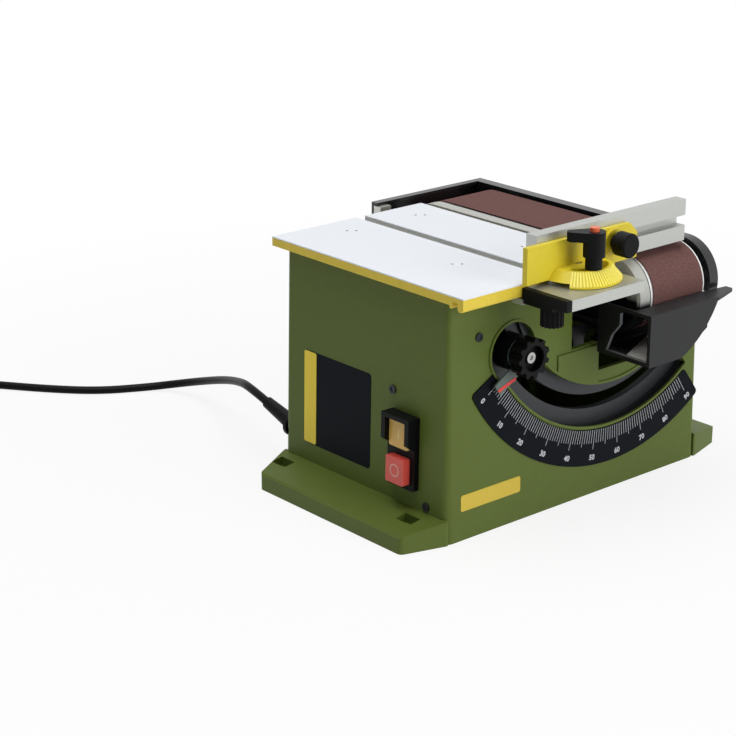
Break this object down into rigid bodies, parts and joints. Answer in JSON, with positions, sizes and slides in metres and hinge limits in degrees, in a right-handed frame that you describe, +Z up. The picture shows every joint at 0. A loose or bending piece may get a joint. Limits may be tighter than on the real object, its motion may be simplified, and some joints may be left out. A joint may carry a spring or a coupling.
{
  "type": "bench belt sander",
  "caption": "Compact bench belt sander with a belt unit that tilts up on an arc scale, a fixed slotted table, a rail-mounted mitre gauge with sliding fence, a dust hood and a mains cord.",
  "frame": {"origin": "centre of the four bench bolt holes, on the bench plane under the flanges", "axes": "+Z up; -Y is the front with the tilt scale; -X is the table side with the switch; the sanding belt runs along Y and tilts about a line along Y"},
  "size_m": [0.4653, 0.5543, 0.2029],
  "materials": {
    "housing_green": "fine-grained moulded plastic",
    "table_yellow": "satin paint on cast metal",
    "table_white": "smooth white coating",
    "black_plastic": "moulded black plastic",
    "grey_cast": "plain cast aluminium",
    "fence_aluminium": "drawn and machined",
    "steel": "turned and ground",
    "dark_steel": "blackened",
    "abrasive": "closed abrasive grain on cloth",
    "protractor_yellow": "satin paint on die casting",
    "scale_black": "thin printed plate",
    "pointer_clear": "clear plastic with a red line",
    "off_red": "moulded",
    "on_amber": "moulded",
    "button_orange": "moulded",
    "cord_black": "soft smooth sheath",
    "belt_rubber": "ribbed drive belt",
    "motor_paint": "painted sheet steel",
    "spring_steel": "drawn wire"
  },
  "bodies": {
    "base": {"housing": "housing_green", "bottom_plate": "black_plastic", "table": "table_yellow", "table_sheet_plate": "table_white", "table_bearers": "black_plastic", "table_screws": "table_white", "scale_plate": "scale_black", "front_guide": "black_plastic", "rear_guide": "black_plastic", "housing_screws": "dark_steel", "switch_frame": "black_plastic", "cord_gland": "cord_black", "cord": "cord_black", "cord_coil": "cord_black", "cord_tie": "black_plastic", "plug": "cord_black"},
    "belt_unit": {"arm_frame": "grey_cast", "platen": "steel", "sanding_belt": "abrasive", "belt_guard": "black_plastic", "guard_end_block": "grey_cast", "dust_hood": "black_plastic", "front_swing_plate": "steel", "rear_swing_plate": "steel", "guide_shoes": "black_plastic", "clamp_studs": "steel", "clamp_hub": "black_plastic", "pointer": "pointer_clear", "drive_bearings": "steel", "drive_belt": "belt_rubber", "drive_cover": "black_plastic", "motor_can": "motor_paint", "motor_end_bells": "grey_cast", "motor_bracket": "steel"},
    "drive_roller": {"drive_roller": "grey_cast", "drive_shaft": "steel", "drive_pulley": "black_plastic"},
    "motor_rotor": {"motor_rotor": "steel", "motor_pulley": "steel"},
    "tension_slide": {"idler_axle": "steel", "slide_blocks": "black_plastic", "tension_springs": "spring_steel"},
    "idler_roller": {"idler_roller": "grey_cast", "idler_bearings": "steel"},
    "tracking_screw": {"tracking_screw": "steel"},
    "tilt_knob": {"tilt_knob": "black_plastic", "tilt_knob_screw": "steel"},
    "on_button": {"on_button": "on_amber"},
    "off_button": {"off_button": "off_red"},
    "gauge_carriage": {"gauge_plate": "fence_aluminium", "rail_clamp": "black_plastic", "rail_jaw": "grey_cast"},
    "rail_knob": {"rail_knob": "black_plastic"},
    "mitre_lift": {"mitre_studs": "steel"},
    "mitre_head": {"mitre_head": "protractor_yellow", "fence_nut": "steel"},
    "fence": {"fence": "fence_aluminium"},
    "fence_knob": {"fence_knob": "black_plastic"},
    "clamp_lever": {"clamp_lever": "black_plastic"},
    "lever_button": {"lever_button": "button_orange"}
  },
  "joints": [
    {"name": "tilt", "type": "hinge", "parent": "base", "child": "belt_unit", "pos_m": [0.031, 0, 0.168], "axis": [0, -1, 0], "range_deg": [0, 90]},
    {"name": "tilt_knob_turn", "type": "hinge", "parent": "belt_unit", "child": "tilt_knob", "pos_m": [-0.0618, -0.098, 0.1178], "axis": [0, -1, 0], "range_deg": [0, 270]},
    {"name": "drive_roller_spin", "type": "hinge", "parent": "belt_unit", "child": "drive_roller", "pos_m": [0.0563, 0.0786, 0.1414], "axis": [1, 0, 0], "continuous": true},
    {"name": "motor_spin", "type": "hinge", "parent": "belt_unit", "child": "motor_rotor", "pos_m": [-0.05, 0.0125, 0.124], "axis": [1, 0, 0], "continuous": true},
    {"name": "belt_tension", "type": "slide", "parent": "belt_unit", "child": "tension_slide", "axis": [0, 1, 0], "range_m": [0, 0.006], "stiffness_N_per_m": 3000, "springref_m": -0.004, "deforming": ["tension_springs"]},
    {"name": "idler_roller_spin", "type": "hinge", "parent": "tension_slide", "child": "idler_roller", "pos_m": [0.0563, -0.093, 0.1414], "axis": [1, 0, 0], "continuous": true},
    {"name": "tracking_turn", "type": "hinge", "parent": "belt_unit", "child": "tracking_screw", "pos_m": [0.0275, -0.059, 0.1414], "axis": [0, 1, 0], "range_deg": [-180, 180]},
    {"name": "on_press", "type": "slide", "parent": "base", "child": "on_button", "axis": [0.9998, 0, -0.0192], "range_m": [0, 0.003], "stiffness_N_per_m": 600, "springref_m": -0.002},
    {"name": "off_press", "type": "slide", "parent": "base", "child": "off_button", "axis": [0.9998, 0, -0.0192], "range_m": [0, 0.003], "stiffness_N_per_m": 600, "springref_m": -0.002},
    {"name": "gauge_travel", "type": "slide", "parent": "base", "child": "gauge_carriage", "axis": [1, 0, 0], "range_m": [-0.04, 0]},
    {"name": "rail_knob_turn", "type": "hinge", "parent": "gauge_carriage", "child": "rail_knob", "pos_m": [-0.0626, -0.1195, 0.15], "axis": [0, 0, 1], "range_deg": [0, 270]},
    {"name": "head_lift", "type": "slide", "parent": "gauge_carriage", "child": "mitre_lift", "axis": [0, 0, 1], "range_m": [0, 0.1022]},
    {"name": "mitre_turn", "type": "hinge", "parent": "mitre_lift", "child": "mitre_head", "pos_m": [-0.03, -0.1095, 0.17], "axis": [0, 0, 1], "range_deg": [-45, 25]},
    {"name": "fence_slide", "type": "slide", "parent": "mitre_head", "child": "fence", "axis": [1, 0, 0], "range_m": [-0.045, 0]},
    {"name": "fence_knob_turn", "type": "hinge", "parent": "mitre_head", "child": "fence_knob", "pos_m": [0.001, -0.118, 0.1842], "axis": [0, -1, 0], "range_deg": [0, 270]},
    {"name": "lever_turn", "type": "hinge", "parent": "mitre_lift", "child": "clamp_lever", "pos_m": [-0.033, -0.12522, 0.189], "axis": [0, 0, 1], "range_deg": [0, 90]},
    {"name": "lever_button_press", "type": "slide", "parent": "clamp_lever", "child": "lever_button", "axis": [0, 0, -1], "range_m": [0, 0.002], "stiffness_N_per_m": 400, "springref_m": -0.002}
  ],
  "couplings": [
    {"joint": "motor_spin", "follows": "drive_roller_spin", "ratio": 1.5625},
    {"joint": "idler_roller_spin", "follows": "drive_roller_spin", "ratio": 1},
    {"joint": "head_lift", "follows": "tilt", "m_per_rad": 0.065}
  ]
}
